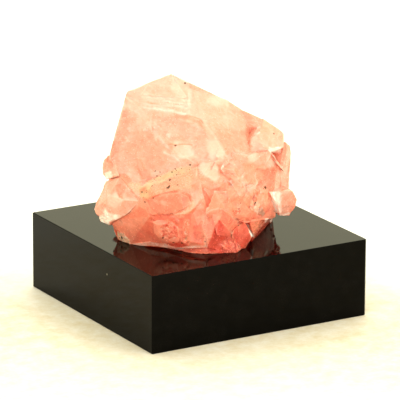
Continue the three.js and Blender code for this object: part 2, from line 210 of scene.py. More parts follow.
def soft_light(name, place, aim, size, power, colour=(1, 1, 1)):
    lamp = bpy.data.lights.new(name, "AREA")
    lamp.shape = "DISK"
    lamp.size = size
    lamp.energy = power
    lamp.color = colour
    obj = bpy.data.objects.new(name, lamp)
    obj.location = place
    obj.rotation_mode = "QUATERNION"
    obj.rotation_quaternion = (Vector(aim) - Vector(place)).to_track_quat("-Z", "Y")
    bpy.context.scene.collection.objects.link(obj)


def studio():
    world = bpy.data.worlds.new("studio")
    bpy.context.scene.world = world
    world.use_nodes = True
    nodes = Nodes(world.node_tree)
    background = world.node_tree.nodes["Background"]
    towards = nodes.add("ShaderNodeVectorMath")
    towards.operation = "DOT_PRODUCT"
    towards.inputs[1].default_value = (math.sin(VIEW_AZIMUTH), math.cos(VIEW_AZIMUTH), 0.25)
    nodes.link(nodes.add("ShaderNodeTexCoord").outputs["Generated"], towards.inputs[0])
    level = nodes.math("MULTIPLY_ADD", towards.outputs["Value"], 0.5)
    level.node.inputs[2].default_value = 0.5
    wall = nodes.ramp(level, [
        (0.25, (0.92, 0.89, 0.74)), (0.55, (1.15, 1.12, 0.9)), (0.85, (1.45, 1.41, 1.02)),
    ])
    nodes.link(wall, background.inputs["Color"])
    soft_light("back_wash", (0.35, 0.6, 0.6), (0.3, 0.5, 0), 0.5, 2.5, (1, 0.98, 0.95))
    soft_light("front_left", (-0.5, -0.35, 0.5), (0, 0, 0.02), 0.3, 0.9, (1, 0.98, 0.92))
    soft_light("front_low", (-0.25, -0.5, 0.12), (0, 0, 0.015), 0.3, 0.5, (1, 0.97, 0.92))
    soft_light("front_right", (0.28, -0.51, 0.3), (0, 0, 0.02), 0.4, 0.9, (1, 0.97, 0.92))


studio()
view = bpy.context.scene.view_settings
view.view_transform = "Standard"
view.look = "Medium High Contrast"


# ---------------------------------------------------------------- display block
def polished_black():
    mat, nodes, shader = material("polished_black")
    coords = nodes.add("ShaderNodeTexCoord").outputs["Object"]
    haze = nodes.noise(coords, 120, 4, 0.6)
    nodes.link(nodes.ramp(haze, [(0.35, 0.035), (0.75, 0.075)]), shader.inputs["Roughness"])
    black = nodes.ramp(nodes.noise(coords, 400, 3), [
        (0.4, (0.002, 0.0018, 0.0014)), (0.7, (0.004, 0.0035, 0.0028)),
    ])
    reach = nodes.ramp(nodes.noise(coords, 150, 2), [(0.48, 0.0), (0.68, 0.07)])
    dust = nodes.math("LESS_THAN", nodes.voronoi(coords, 300), reach)
    nodes.link(nodes.mix(dust, black, (0.2, 0.19, 0.15)), shader.inputs["Base Color"])
    shader.inputs["IOR"].default_value = 1.49
    shader.inputs["Specular IOR Level"].default_value = 0.1
    return mat


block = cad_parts["display_block"]
block.data.materials.clear()
block.data.materials.append(polished_black())


# ---------------------------------------------------------------- fluorite: shape
# The cluster's own frame, in millimetres: x to the right, y away from its front, z above the block.
def local_points(co):
    c, s = math.cos(-CLUSTER_TURN), math.sin(-CLUSTER_TURN)
    p = co / MM
    x, y = p[:, 0] * c - p[:, 1] * s, p[:, 0] * s + p[:, 1] * c
    return np.stack((x, y, p[:, 2] - BLOCK_TOP / MM), 1)


def part_points(p):
    c, s = math.cos(CLUSTER_TURN), math.sin(CLUSTER_TURN)
    x, y = p[:, 0] * c - p[:, 1] * s, p[:, 0] * s + p[:, 1] * c
    return np.stack((x, y, p[:, 2] + BLOCK_TOP / MM), 1) * MM


def unit(v):
    v = np.asarray(v, float)
    return v / np.maximum(np.linalg.norm(v, axis=-1, keepdims=True), 1e-12)


def smooth(low, high, x):
    t = np.clip((x - low) / (high - low), 0, 1)
    return t * t * (3 - 2 * t)


def hashed(cell, seed):
    """A repeatable number from 0 to 1 for each whole-numbered cell."""
    h = cell[..., 0] * 73856093 ^ cell[..., 1] * 19349663 ^ cell[..., 2] * 83492791
    h = h ^ (seed * 2654435761 & 0x7FFFFFFF)
    h = (h ^ (h >> 13)) * 1274126177 & 0x7FFFFFFF
    h = (h ^ (h >> 16)) * 668265263 & 0x7FFFFFFF
    return ((h ^ (h >> 15)) & 0xFFFFFF) / 16777216.0


def value_noise(p, size, seed):
    """Smooth noise from -1 to 1, with lumps of that size."""
    q = p / size
    base = np.floor(q).astype(np.int64)
    f = q - base
    f = f * f * (3 - 2 * f)
    total = 0
    for dx in (0, 1):
        for dy in (0, 1):
            for dz in (0, 1):
                w = ((f[:, 0] if dx else 1 - f[:, 0]) * (f[:, 1] if dy else 1 - f[:, 1])
                     * (f[:, 2] if dz else 1 - f[:, 2]))
                total = total + w * hashed(base + (dx, dy, dz), seed)
    return total * 2 - 1


def fractal(p, size, seed, octaves=3):
    return sum(value_noise(p, size / 2 ** k, seed + k) / 2 ** k for k in range(octaves)) / 1.75


def cells(p, size, seed):
    """For each point the cell of the nearest of some scattered points, and that one's place."""
    q = p / size
    base = np.floor(q).astype(np.int64)
    nearest = np.full(len(p), 9.0)
    owner = np.zeros((len(p), 3), np.int64)
    place = np.zeros((len(p), 3))
    for dx in (-1, 0, 1):
        for dy in (-1, 0, 1):
            for dz in (-1, 0, 1):
                cell = base + (dx, dy, dz)
                point = cell + np.stack([hashed(cell, seed + k) for k in range(3)], 1)
                d = np.linalg.norm(point - q, axis=1)
                nearer = d < nearest
                owner[nearer], place[nearer] = cell[nearer], point[nearer]
                nearest = np.where(nearer, d, nearest)
    return owner, place * size


MOST_SPLITS = 12  # rounds of splitting, more than any edge needs


def refined(points, faces, reach):
    """Splits every edge that is longer than reach(its middle), until none is left."""
    for _ in range(MOST_SPLITS):
        edges = np.concatenate([faces[:, [0, 1]], faces[:, [1, 2]], faces[:, [2, 0]]])
        keys, which = np.unique(edges.min(1) * len(points) + edges.max(1), return_inverse=True)
        pairs = np.stack((keys // len(points), keys % len(points)), 1)
        which = which.reshape(3, -1).T
        middle = (points[pairs[:, 0]] + points[pairs[:, 1]]) / 2
        length = np.linalg.norm(points[pairs[:, 0]] - points[pairs[:, 1]], axis=1)
        split = length > reach(middle)
        if not split.any():
            break
        number = np.full(len(pairs), -1)
        number[split] = len(points) + np.arange(split.sum())
        points = np.concatenate([points, middle[split]])
        mids = number[which]
        count = (mids >= 0).sum(1)
        pieces = [faces[count == 0]]
        for turn in range(3):
            a, b, c = (np.roll(faces, -turn, 1)[:, k] for k in range(3))
            ab, bc, ca = (np.roll(mids, -turn, 1)[:, k] for k in range(3))
            one = (count == 1) & (ab >= 0)
            pieces += [np.stack(t, 1)[one] for t in ((a, ab, c), (ab, b, c))]
            two = (count == 2) & (ca < 0)
            first, second = points[a] - points[bc], points[c] - points[ab]
            flip = np.linalg.norm(first, axis=1) < np.linalg.norm(second, axis=1)
            pieces.append(np.stack((ab, b, bc), 1)[two])
            pieces += [np.stack(t, 1)[two & flip] for t in ((a, ab, bc), (a, bc, c))]
            pieces += [np.stack(t, 1)[two & ~flip] for t in ((a, ab, c), (ab, bc, c))]
            if turn == 0:
                three = count == 3
                quarters = ((a, ab, ca), (ab, b, bc), (ca, bc, c), (ab, bc, ca))
                pieces += [np.stack(t, 1)[three] for t in quarters]
        faces = np.concatenate(pieces)
    return points, faces


def face_normals(points, faces):
    a, b, c = (points[faces[:, k]] for k in range(3))
    return np.cross(b - a, c - a)


def vertex_normals(points, faces):
    n = unit(face_normals(points, faces))
    total = np.stack([
        np.bincount(faces.ravel(), np.repeat(n[:, axis], 3), len(points)) for axis in range(3)], 1)
    return unit(total)


UPPER_FACE_WAY = (-0.06, -0.62, 0.78)
UPPER_FACE = unit(UPPER_FACE_WAY)
FRONT_FACE = unit((-0.137, -0.802, 0.582))
SIDE_FACE = (0.85, -0.35, 0.4)  # roughly the way the next octahedral face looks


def lattice():
    """The cube axes of the crystal, from the way its front face and the next octahedral face look."""
    across = unit(SIDE_FACE - np.dot(SIDE_FACE, FRONT_FACE) * FRONT_FACE)
    side = FRONT_FACE / 3 + across * math.sqrt(8) / 3
    third, middle = unit(FRONT_FACE - side), unit(FRONT_FACE + side)
    cross = np.cross(third, middle)
    return np.stack((unit(middle + cross), unit(middle - cross), -third))


CUBE_AXES = lattice()
CLEAVAGES = unit(np.array(((1, 1, 1), (1, 1, -1), (1, -1, 1), (-1, 1, 1)))) @ CUBE_AXES


PLACE_BORDER = 0.6  # the share of a broken place's reach over which it fades out


def near(p, centre, reach):
    """1 close to a place, 0 beyond its reach, over a soft border. The place has flat, cleaved sides."""
    away = (p - centre) / reach
    flat, round_off = np.abs(away @ CLEAVAGES.T).max(1), np.linalg.norm(away, axis=1)
    d = 0.55 * flat * 1.25 + 0.45 * round_off
    return 1 - smooth(1 - PLACE_BORDER, 1, d)


LEAST_FOLD = 0.35  # a fold is full from here, as 1 less the cosine between its two faces


def convex_edges(points, faces, normals):
    """How sharply the surface folds outwards at each vertex, spread a little to its neighbours."""
    edges = np.concatenate([faces[:, [0, 1]], faces[:, [1, 2]], faces[:, [2, 0]]])
    owner = np.tile(np.arange(len(faces)), 3)
    order = np.lexsort((edges.max(1), edges.min(1)))
    edges, owner = np.sort(edges[order], 1), owner[order]
    same = (edges[1:] == edges[:-1]).all(1)
    a, b, pair = owner[:-1][same], owner[1:][same], edges[:-1][same]
    centre = points[faces].mean(1)
    fold = 1 - (normals[a] * normals[b]).sum(1)
    outward = ((centre[b] - centre[a]) * normals[a]).sum(1) < 0
    mark = np.zeros(len(points))
    strength = np.where(outward, smooth(LEAST_FOLD * 0.3, LEAST_FOLD, fold), 0)
    for k in range(2):
        np.maximum.at(mark, pair[:, k], strength)
    ends = pair.T.ravel()
    spread = np.bincount(ends, mark[pair[:, ::-1].T.ravel()], len(points))
    return np.maximum(mark, 0.6 * spread / np.maximum(np.bincount(ends, minlength=len(points)), 1))


# Where the surface is broken into small facets: place, reach and height, all in millimetres.
BROKEN = [
    ((7.5, -10.5, 9.5), (6.5, 5, 5.5), 0.09),
    ((-14.5, -7, 11.5), (2.2, 2.5, 2.6), 0.2),
    ((-15.3, -8.9, 4.2), (2.4, 2.4, 2.0), 0.14),
    ((-5.5, -11.8, 10.8), (5.5, 2.6, 2.2), 0.08),
    ((0, 7, 8), (15, 6, 12), 0.2),
    ((-12, 2, 7), (5, 6, 9), 0.16),
    ((13, 2, 7), (4, 6, 7), 0.16),
]

WAVE_HEIGHT, WAVE_SIZE = 0.03, 3.2  # slow waves on every face
UPPER_STEPS = ((1.15, 0.07), (0.47, 0.03))  # spacing and height of the upper face's cleavage steps
FRONT_STEP, FRONT_STEP_HEIGHT = 2.3, 0.035  # the same of the front face's
FRONT_STEP_WAY = (0.75, 0.3, 0.9)  # these follow one another this way
CHIP_DEPTH = 0.2  # of the chips along the edges
LEAST_CHIP = 0.12  # the share of it that every sharp edge is worn by


def relief(p, normals, folds, lift, crumbs):
    """How far each point moves along its normal, in millimetres."""
    move = lift + WAVE_HEIGHT * fractal(p, WAVE_SIZE, 11, 2)
    # broken places: small tilted facets at two sizes, and crumbs at a third. Each has a size, a height
    # and a seed.
    broken = np.zeros(len(p))
    for centre, reach, height in BROKEN:
        broken = np.maximum(broken, height * near(p, centre, reach))
    layers = ((1.5, broken, 21), (0.62, 0.5 * broken, 31), (0.42, 0.13 * crumbs, 35))
    for size, height, seed in layers:
        bent = p + 0.25 * size * np.stack([value_noise(p, size, seed + 90 + k) for k in range(3)], 1)
        owner, place = cells(bent, size, seed)
        sign = np.sign(hashed(owner, seed + 51) - 0.5)
        tilt = CLEAVAGES[(hashed(owner, seed + 50) * 4).astype(int)] * sign[:, None]
        move = move + height * np.clip(((p - place) * tilt).sum(1) / size * 1.6, -1, 1)
    # cleavage steps on the upper face, nearly level
    on_upper = smooth(0.95, 0.985, normals @ UPPER_FACE)
    level = p[:, 2] + 0.13 * p[:, 0] + 0.22 * fractal(p, 4.0, 41, 2)
    for spacing, height in UPPER_STEPS:
        phase = level / spacing
        patch = smooth(-0.25, 0.3, value_noise(p * (0.35, 1, 1.6), 2.4, 43))
        move = move + on_upper * patch * height * (phase - np.floor(phase) - 0.5)
    # long low steps on the front face, along the cleavage
    on_front = smooth(0.97, 0.99, normals @ FRONT_FACE)
    phase = (p @ unit(FRONT_STEP_WAY) + 0.3 * fractal(p, 5.0, 47, 2)) / FRONT_STEP
    stepped = smooth(-0.1, 0.5, value_noise(p, 4.5, 49))
    move = move + on_front * FRONT_STEP_HEIGHT * (phase - np.floor(phase) - 0.5) * stepped
    # chipped edges
    chip = smooth(0.05, 0.75, value_noise(p, 0.9, 61)) + 0.6 * smooth(0.2, 0.9, value_noise(p, 0.4, 63))
    return move - CHIP_DEPTH * folds * (LEAST_CHIP + chip)


# ---------------------------------------------------------------- fluorite: photo pixels on the stone
PIXELS_PER_MM = 6.16  # at the stone
LEAST_SLANT = 1e-12  # a triangle that is seen more edge-on than this is passed over
EDGE_SLACK = 1e-6  # a line of sight this little outside a triangle still meets it


def packed_cluster():
    """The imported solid: its corners in the cluster's own frame, and its triangles."""
    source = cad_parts["fluorite_cluster"].data
    source.calc_loop_triangles()
    co = np.empty(len(source.vertices) * 3)
    source.vertices.foreach_get("co", co)
    triangles = np.empty(len(source.loop_triangles) * 3, np.int32)
    source.loop_triangles.foreach_get("vertices", triangles)
    return local_points(co.reshape(-1, 3)), triangles.reshape(-1, 3)


def lines_of_sight(points, triangles):
    """A function that finds where the line of sight through a photo pixel first meets the triangles."""
    a, b, c = (points[triangles[:, k]] for k in range(3))
    ab, ac = b - a, c - a
    side, top, forward = view_axes(0)
    eye = local_points(np.array([VIEW_AIM]) * MM)[0] - forward * VIEW_DISTANCE
    crossed = np.cross(eye - a, ab)

    def meet(x, y):
        """The place in the cluster's frame, or None for a pixel beside the stone."""
        middle = PHOTO_PIXELS / 2
        ray = forward + ((x - middle) * side - (y - middle) * top) / FOCAL_PIXELS
        across = np.cross(ray, ac)
        slant = (ab * across).sum(1)
        with np.errstate(divide="ignore", invalid="ignore"):
            along_ab = ((eye - a) * across).sum(1) / slant
            along_ac = crossed @ ray / slant
            distance = (ac * crossed).sum(1) / slant
        hit = (np.abs(slant) > LEAST_SLANT) & (distance > 0) & (along_ab + along_ac <= 1 + EDGE_SLACK)
        hit &= (along_ab >= -EDGE_SLACK) & (along_ac >= -EDGE_SLACK)
        return eye + distance[hit].min() * ray if hit.any() else None
    return meet


SOLID = packed_cluster()
on_stone = lines_of_sight(*SOLID)


def in_view(pixels):
    """Photo pixels as places in the front view, to a tenth of a millimetre.

    A pixel beside the stone is placed by the nearest of the others that is on it.
    """
    known = []
    for x, y in pixels:
        place = on_stone(x, y)
        if place is not None:
            up = place[2] * math.cos(VIEW_ELEVATION) + place[1] * math.sin(VIEW_ELEVATION)
            known.append((x, y, place[0], up))
    places = []
    for x, y in pixels:
        x0, y0, u, v = min(known, key=lambda spot: (spot[0] - x) ** 2 + (spot[1] - y) ** 2)
        places.append((round(u + (x - x0) / PIXELS_PER_MM, 1), round(v - (y - y0) / PIXELS_PER_MM, 1)))
    return places


# ---------------------------------------------------------------- fluorite: the look of each face
# The faces that are seen from the front are outlined over the photo: the corners are pixels of it.
# Later outlines lie over earlier ones. Tone runs from 0, milky white, through cream,
# peach and coral to 1, deep red. Clearness runs from 0, milky, to 1, clear. Each outline has its name,
# tone, clearness, iron stain, crumbliness, the width of its soft border in millimetres and its corners.
FACETS = [
    ("upper face", 0.36, 0.2, 0, 0, 0.5, [(127, 90), (137, 88), (150, 80), (171, 74), (190, 83),
      (194, 96), (191, 112), (172, 111), (145, 108), (129, 100)]),
    ("upper face, left end", 0.32, 0.25, 0, 0, 0.6, [(127, 90), (138, 88), (143, 96), (140, 106),
      (128, 103)]),
    ("bright crest", 0.34, 0.1, 0, 0, 0.8, [(173, 76), (184, 82), (190, 92), (191, 107), (182, 103),
      (174, 96), (171, 86)]),
    ("ridge face", 0.46, 0.2, 0, 0, 0.6, [(190, 83), (241, 108), (246, 120), (247, 150), (229, 162),
      (216, 139), (206, 118), (191, 112), (192, 96)]),
    ("ridge face, lower part", 0.52, 0.25, 0, 0, 0.9, [(214, 128), (247, 132), (249, 152), (228, 162),
      (216, 140)]),
    ("pale patch under the ridge", 0.35, 0.1, 0, 0, 0.6, [(207, 96), (216, 94), (229, 101), (228, 107),
      (214, 107), (206, 102)]),
    ("orange spots on the ridge", 0.53, 0.3, 0, 0, 0.2, [(190, 84), (198, 87), (204, 90), (197, 91),
      (190, 88)]),
    ("pale bevel of the front face", 0.42, 0.15, 0, 0, 0.6, [(204, 112), (209, 126), (217, 139),
      (223, 150), (228, 161), (214, 162), (209, 152), (210, 140), (204, 130), (201, 118)]),
    ("front face, upper strip", 0.41, 0.2, 0, 0, 0.6, [(127, 96), (145, 108), (172, 111), (176, 116),
      (160, 124), (135, 118), (124, 106)]),
    ("front face", 0.42, 0.3, 0, 0, 0.5, [(122, 112), (140, 118), (176, 116), (204, 126), (210, 140),
      (208, 155), (190, 168), (150, 178), (126, 186), (110, 160), (113, 138)]),
    ("pale band of the front face", 0.4, 0.2, 0, 0, 1.2, [(128, 106), (136, 111), (149, 115), (157, 125),
      (149, 127), (137, 122), (131, 117)]),
    ("front face, left border", 0.46, 0.35, 0, 0, 0.8, [(121, 108), (128, 108), (131, 130), (120, 150),
      (118, 175), (108, 160), (112, 135)]),
    ("front face, middle", 0.5, 0.3, 0, 0, 1.2, [(135, 132), (165, 130), (176, 150), (160, 168),
      (135, 172), (122, 155)]),
    ("stain under the crest", 0.54, 0.25, 0, 0, 0.25, [(175, 112), (192, 117), (203, 121), (202, 127),
      (190, 122), (176, 116)]),
    ("milky veil", 0.42, 0.1, 0, 0, 0.9, [(170, 143), (180, 140), (189, 144), (193, 153), (189, 161),
      (180, 160), (174, 152)]),
    ("milky patch at the bevel", 0.38, 0.05, 0, 0, 0.7, [(208, 141), (217, 140), (222, 149), (220, 156),
      (211, 155), (207, 149)]),
    ("coral streak", 0.62, 0.3, 0, 0, 0.35, [(134, 159), (141, 160), (149, 172), (151, 178), (143, 178),
      (137, 170)]),
    ("red left corner", 0.54, 0.4, 0, 0, 0.2, [(109, 143), (113, 140), (118, 151), (113, 157),
      (114, 166), (108, 160)]),
    ("knob", 0.46, 0.3, 0, 0, 0.3, [(108, 156), (114, 164), (119, 175), (106, 181), (102, 170),
      (104, 160)]),
    ("knob, red edge", 0.56, 0.3, 0, 0, 0.3, [(103, 160), (109, 156), (113, 163), (111, 171), (106, 168),
      (103, 168)]),
    ("knob, glint", 0.14, 0.1, 0, 0, 0.15, [(105, 173), (110, 171), (114, 175), (111, 178), (106, 178)]),
    ("left lobe", 0.46, 0.28, 0, 0, 0.3, [(107, 181), (119, 177), (128, 186), (141, 200), (128, 215),
      (112, 221), (100, 222), (95, 209)]),
    ("left lobe, pale middle", 0.33, 0.2, 0, 0, 0.6, [(108, 196), (118, 192), (123, 202), (116, 208),
      (108, 205)]),
    ("rose band beside the left lobe", 0.6, 0.3, 0, 0, 0.3, [(119, 174), (125, 174), (133, 183),
      (128, 187), (122, 184)]),
    ("left lobe, red fleck", 0.56, 0.35, 0, 0, 0.2, [(115, 186), (122, 183), (127, 188), (124, 194),
      (123, 199), (120, 198), (117, 193)]),
    ("left lobe, white tip", 0.16, 0.05, 0.1, 0.3, 0.25, [(102, 213), (105, 209), (108, 213), (113, 214),
      (122, 216), (116, 219), (111, 221), (111, 227), (103, 223), (99, 217)]),
    ("ledge, pale left end", 0.52, 0.15, 0.25, 0, 0.35, [(127, 184), (140, 182), (142, 190), (134, 193),
      (127, 191)]),
    ("ledge", 0.5, 0.15, 0.7, 0, 0.4, [(139, 187), (152, 180), (176, 169), (191, 166), (190, 172),
      (172, 179), (156, 187), (150, 190), (149, 199), (141, 199)]),
    ("olive end of the ledge", 0.98, 0.1, 0.8, 0, 0.5, [(140, 189), (147, 186), (152, 190), (152, 197),
      (148, 200), (142, 199)]),
    ("ledge, speckled part", 0.61, 0.2, 0.14, 0, 0.5, [(152, 186), (172, 178), (190, 171), (196, 176),
      (192, 190), (172, 191), (158, 195), (150, 196)]),
    ("pink face under the ledge", 0.48, 0.3, 0, 0, 0.5, [(124, 190), (140, 193), (142, 201), (130, 212),
      (122, 204)]),
    ("pale diamond", 0.38, 0.1, 0, 0, 0.5, [(200, 162), (213, 160), (221, 168), (220, 178), (214, 183),
      (205, 177), (199, 169)]),
    ("face right of the ledge", 0.58, 0.25, 0, 0, 0.6, [(194, 168), (199, 170), (206, 178), (214, 184),
      (208, 196), (199, 196), (193, 186)]),
    ("orange lens", 0.66, 0.35, 0, 0, 0.2, [(147, 201), (158, 196), (170, 192), (183, 192), (192, 196),
      (190, 204), (181, 210), (171, 215), (158, 214), (150, 208)]),
    ("grey rib", 0.58, 0.15, 0.3, 0, 0.5, [(194, 201), (195, 207), (190, 213), (182, 217), (170, 219),
      (170, 216), (180, 211), (188, 206)]),
    ("dark left face of the foot", 0.72, 0.25, 0, 0, 0.3, [(110, 221), (119, 219), (129, 215),
      (139, 208), (147, 213), (151, 224), (151, 243), (131, 243), (120, 235), (113, 228)]),
    ("dark left face, lit corner", 0.7, 0.4, 0, 0, 0.4, [(111, 221), (121, 219), (124, 225), (116, 228)]),
    ("olive crumbs under it", 0.36, 0.3, 0.8, 0.8, 0.2, [(117, 231), (124, 234), (129, 239), (131, 244),
      (122, 241), (117, 237)]),
    ("red face of the foot", 0.72, 0.25, 0, 0, 0.5, [(146, 206), (152, 211), (160, 216), (177, 217),
      (183, 224), (183, 242), (165, 244), (151, 243), (150, 225)]),
    ("bright band over the foot", 0.72, 0.35, 0, 0, 0.4, [(150, 214), (176, 218), (180, 224), (165, 222),
      (150, 222)]),
    ("crumbly lens in the foot", 0.74, 0.3, 0.1, 0.6, 0.6, [(161, 225), (170, 222), (178, 229),
      (177, 239), (167, 242), (159, 236)]),
    ("middle face of the foot", 0.72, 0.25, 0, 0, 0.4, [(183, 214), (196, 209), (205, 214), (202, 226),
      (206, 245), (184, 245)]),
    ("crumbly seam", 0.64, 0.25, 0.2, 0.6, 0.4, [(184, 220), (188, 220), (189, 240), (184, 243)]),
    ("shaded dip beside the arch", 0.75, 0.4, 0, 0, 0.3, [(192, 226), (202, 222), (205, 236), (203, 243),
      (194, 242)]),
    ("rim of the foot", 0.41, 0.25, 0, 0.3, 0.12, [(129, 243), (150, 241), (165, 243), (176, 246),
      (207, 245), (207, 247), (176, 248), (164, 246), (150, 244), (131, 245)]),
    ("red underside", 0.76, 0.4, 0, 0, 0.12, [(163, 246), (176, 249), (207, 247), (222, 250), (240, 248),
      (232, 254), (205, 256), (180, 253)]),
    ("arch face", 0.66, 0.35, 0, 0, 0.2, [(209, 211), (219, 209), (221, 214), (217, 223), (213, 233),
      (208, 246), (206, 240), (202, 228), (203, 219)]),
    # the deep red of this face is partly the stone's own and partly painted shade: the black block seen
    # through the stone
    ("dark wedge", 0.92, 0.35, 0, 0, 0.15, [(219, 220), (224, 225), (230, 230), (232, 240), (226, 248),
      (222, 252), (209, 250), (207, 247), (212, 236), (216, 225)]),
    ("right arch face", 0.76, 0.35, 0, 0, 0.2, [(221, 209), (228, 211), (235, 219), (239, 223),
      (236, 228), (232, 232), (226, 227), (220, 219)]),
    # the deep red of this face is partly the stone's own and partly painted shade: the black block seen
    # through the stone
    ("dark right face", 0.92, 0.35, 0, 0, 0.15, [(235, 227), (246, 224), (252, 234), (248, 242),
      (242, 247), (237, 242), (233, 235)]),
    # painted light: the sliver is pink, and is painted white against the shade in its crack
    ("pink sliver", 0, 0, 0, 0, 0.1, [(246, 223), (250, 225), (255, 236), (251, 236)]),
    ("glassy brown corner", 0.76, 0.25, 0.2, 0.1, 0.2, [(250, 222), (263, 219), (264, 225), (258, 231),
      (255, 236), (250, 228)]),
    ("sparkling crumbs at the toe", 0.97, 0.4, 0.12, 0.35, 0.6, [(223, 241), (231, 238), (236, 241),
      (242, 247), (238, 252), (228, 253), (221, 249)]),
    ("bright rim of the right foot", 0.78, 0.25, 0, 0, 0.12, [(236, 224), (247, 221), (262, 218),
      (276, 215), (276, 218), (262, 220), (248, 223), (237, 226)]),
    ("white chip", 0, 0, 0, 0, 0.15, [(265, 219), (276, 217), (272, 222), (264, 223)]),
    ("red face by the right lobe", 0.74, 0.4, 0, 0, 0.3, [(262, 208), (269, 204), (274, 212), (277, 217),
      (262, 219), (257, 215)]),
    ("right lobe", 0.53, 0.35, 0, 0, 0.3, [(279, 192), (290, 190), (296, 197), (297, 203), (293, 210),
      (288, 216), (278, 214)]),
    ("cream band of the right lobe", 0.28, 0.2, 0, 0.3, 0.25, [(269, 191), (280, 190), (281, 213),
      (275, 212), (271, 203)]),
    ("pink hollow", 0.64, 0.1, 0, 0, 0.6, [(250, 189), (266, 189), (269, 202), (262, 208), (250, 205)]),
    ("white crumbs", 0.58, 0, 0, 0.2, 0.6, [(252, 204), (260, 202), (262, 209), (258, 215), (252, 212)]),
    ("orange blade", 0.64, 0.4, 0, 0, 0.25, [(265, 169), (273, 166), (277, 172), (274, 183), (271, 190),
      (266, 188), (263, 178)]),
    ("lit edge on the right", 0.46, 0.25, 0, 0, 0.3, [(277, 166), (287, 163), (289, 189), (272, 192),
      (275, 181)]),
    ("right shoulder", 0.5, 0.15, 0, 0, 0.6, [(257, 133), (263, 125), (275, 124), (285, 131), (285, 141),
      (283, 149), (270, 150), (262, 146)]),
    ("right shoulder, lower left", 0.4, 0.25, 0, 0, 0.3, [(250, 138), (257, 134), (262, 146), (267, 150),
      (251, 151)]),
    ("white horn", 0.5, 0.05, 0, 0, 0.3, [(262, 119), (267, 120), (273, 126), (264, 127)]),
    ("white ledge of the shoulder", 0.04, 0.05, 0, 0, 0.3, [(267, 148), (281, 147), (280, 152),
      (270, 152)]),
    ("coral ridge", 0.5, 0.3, 0, 0, 0.2, [(241, 109), (262, 119), (262, 126), (256, 128), (247, 122)]),
    ("red notch", 0.54, 0.4, 0, 0, 0.25, [(247, 124), (253, 127), (261, 130), (252, 137), (249, 131)]),
    ("narrow red face", 0.5, 0.4, 0, 0, 0.2, [(281, 150), (285, 147), (286, 165), (282, 172),
      (280, 161)]),
    ("warm right edge", 0.47, 0.25, 0.1, 0, 0.2, [(285, 142), (291, 145), (292, 151), (289, 165),
      (286, 165), (286, 150)]),
    ("right flank, upper", 0.48, 0.3, 0, 0, 0.8, [(228, 152), (250, 152), (266, 153), (280, 153),
      (280, 166), (264, 168), (250, 176), (230, 172), (222, 165)]),
    ("cream fleck", 0.44, 0.1, 0, 0, 0.7, [(249, 153), (256, 151), (259, 157), (253, 163), (248, 160)]),
    ("right flank, coral", 0.63, 0.2, 0, 0, 0.8, [(244, 162), (264, 164), (264, 180), (250, 184),
      (242, 175)]),
    ("right flank, left", 0.58, 0.2, 0, 0, 0.8, [(221, 165), (242, 170), (242, 190), (224, 196),
      (216, 186)]),
    ("right flank, lower", 0.68, 0.15, 0, 0, 0.8, [(226, 196), (250, 192), (252, 214), (247, 221),
      (236, 221), (227, 208)]),
    ("face over the arch", 0.66, 0.2, 0, 0, 0.6, [(203, 196), (226, 186), (228, 208), (219, 209),
      (208, 211), (202, 206)]),
    ("scratched corner", 0.64, 0.25, 0, 0.5, 0.3, [(231, 209), (239, 207), (241, 214), (234, 217)]),
]

# Thin lines and cracks over the photo, each with its name, tone, width in millimetres and pixels.
LINES = [
    # The first line is a painted highlight along the lower edge of the upper face.
    ("painted highlight on the long cleavage step", 0.18, 0.22, [(144, 107.5), (165, 110.5), (186, 113.5)]),
    ("short cleavage line", 0.24, 0.16, [(148, 97), (163, 98.5), (178, 98.5)]),
    ("darker cleavage line", 0.42, 0.14, [(147, 105), (160, 106.5), (170, 108.5)]),
    ("line over the stain", 0.6, 0.16, [(186, 115), (193, 117), (199, 118.5), (203, 122.5)]),
    ("dark side of the bevel", 0.42, 0.2, [(213, 132), (218, 139), (222, 147), (226, 156)]),
    ("crack across the veil", 0.56, 0.14, [(162, 144), (171, 144), (176, 145.5), (182, 144), (192, 145)]),
    ("crack along the ledge", 0.5, 0.12, [(147, 189), (157, 182), (170, 174), (176, 171)]),
    ("upper edge of the orange lens", 0.78, 0.13, [(151, 199), (158, 195), (167, 192), (177, 191)]),
    ("left side of the arch", 0.5, 0.18, [(203.5, 224), (204, 218), (208, 212.5), (211, 210),
      (219, 209)]),
    ("right side of the arch", 0.54, 0.18, [(221, 209), (227, 211.5), (233, 217), (240, 222.5)]),
    ("lower edge of the right foot", 0.68, 0.2, [(238, 223), (250, 220.5), (263, 218.5), (276, 216.5)]),
    ("lower edge of the right lobe", 0.2, 0.2, [(276, 215.5), (285, 215), (290, 213)]),
    ("white streak of the right lobe", 0.2, 0.26, [(274, 193), (275.5, 203), (277, 212)]),
    ("dark notch by the right lobe", 0.72, 0.18, [(268.5, 194), (268.5, 202)]),
    ("dark notch under the knob", 0.5, 0.2, [(105, 180.5), (109.5, 179.5), (119, 176.5)]),
    ("crease under the shoulder", 0.46, 0.14, [(250, 139), (258, 140), (264, 146), (268, 149)]),
    ("crease on the right flank", 0.52, 0.14, [(262, 151), (270, 153), (279, 156)]),
    ("edge under the shoulder", 0.58, 0.3, [(271, 154), (273, 157), (279, 166)]),
    ("fleck in the front face", 0.2, 0.22, [(128.5, 128.5), (129.3, 131)]),
    ("second fleck in the front face", 0.2, 0.2, [(145, 128.5), (146.5, 130.5)]),
    ("third fleck in the front face", 0.24, 0.2, [(167, 134.5), (169, 137)]),
    ("fourth fleck in the front face", 0.24, 0.18, [(127, 138), (128.5, 141.5)]),
    ("streak down the front face", 0.34, 0.3, [(136, 112), (148, 124), (160, 140), (172, 152)]),
    ("second streak down the front face", 0.36, 0.24, [(150, 116), (152, 128), (156, 140)]),
    ("streak towards the coral streak", 0.36, 0.24, [(163, 153), (172, 156), (180, 162)]),
]

OUTLINES = [in_view(pixels) for *_, pixels in FACETS]
ROUTES = [in_view(pixels) for *_, pixels in LINES]

# Where steps of cleavage run nearly level over the upper face, in millimetres in the front view.
LEVEL_LINES = [(-9.8, 20.9), (-1, 20.6), (-1, 18.4), (-4.3, 18.4), (-8.8, 19)]

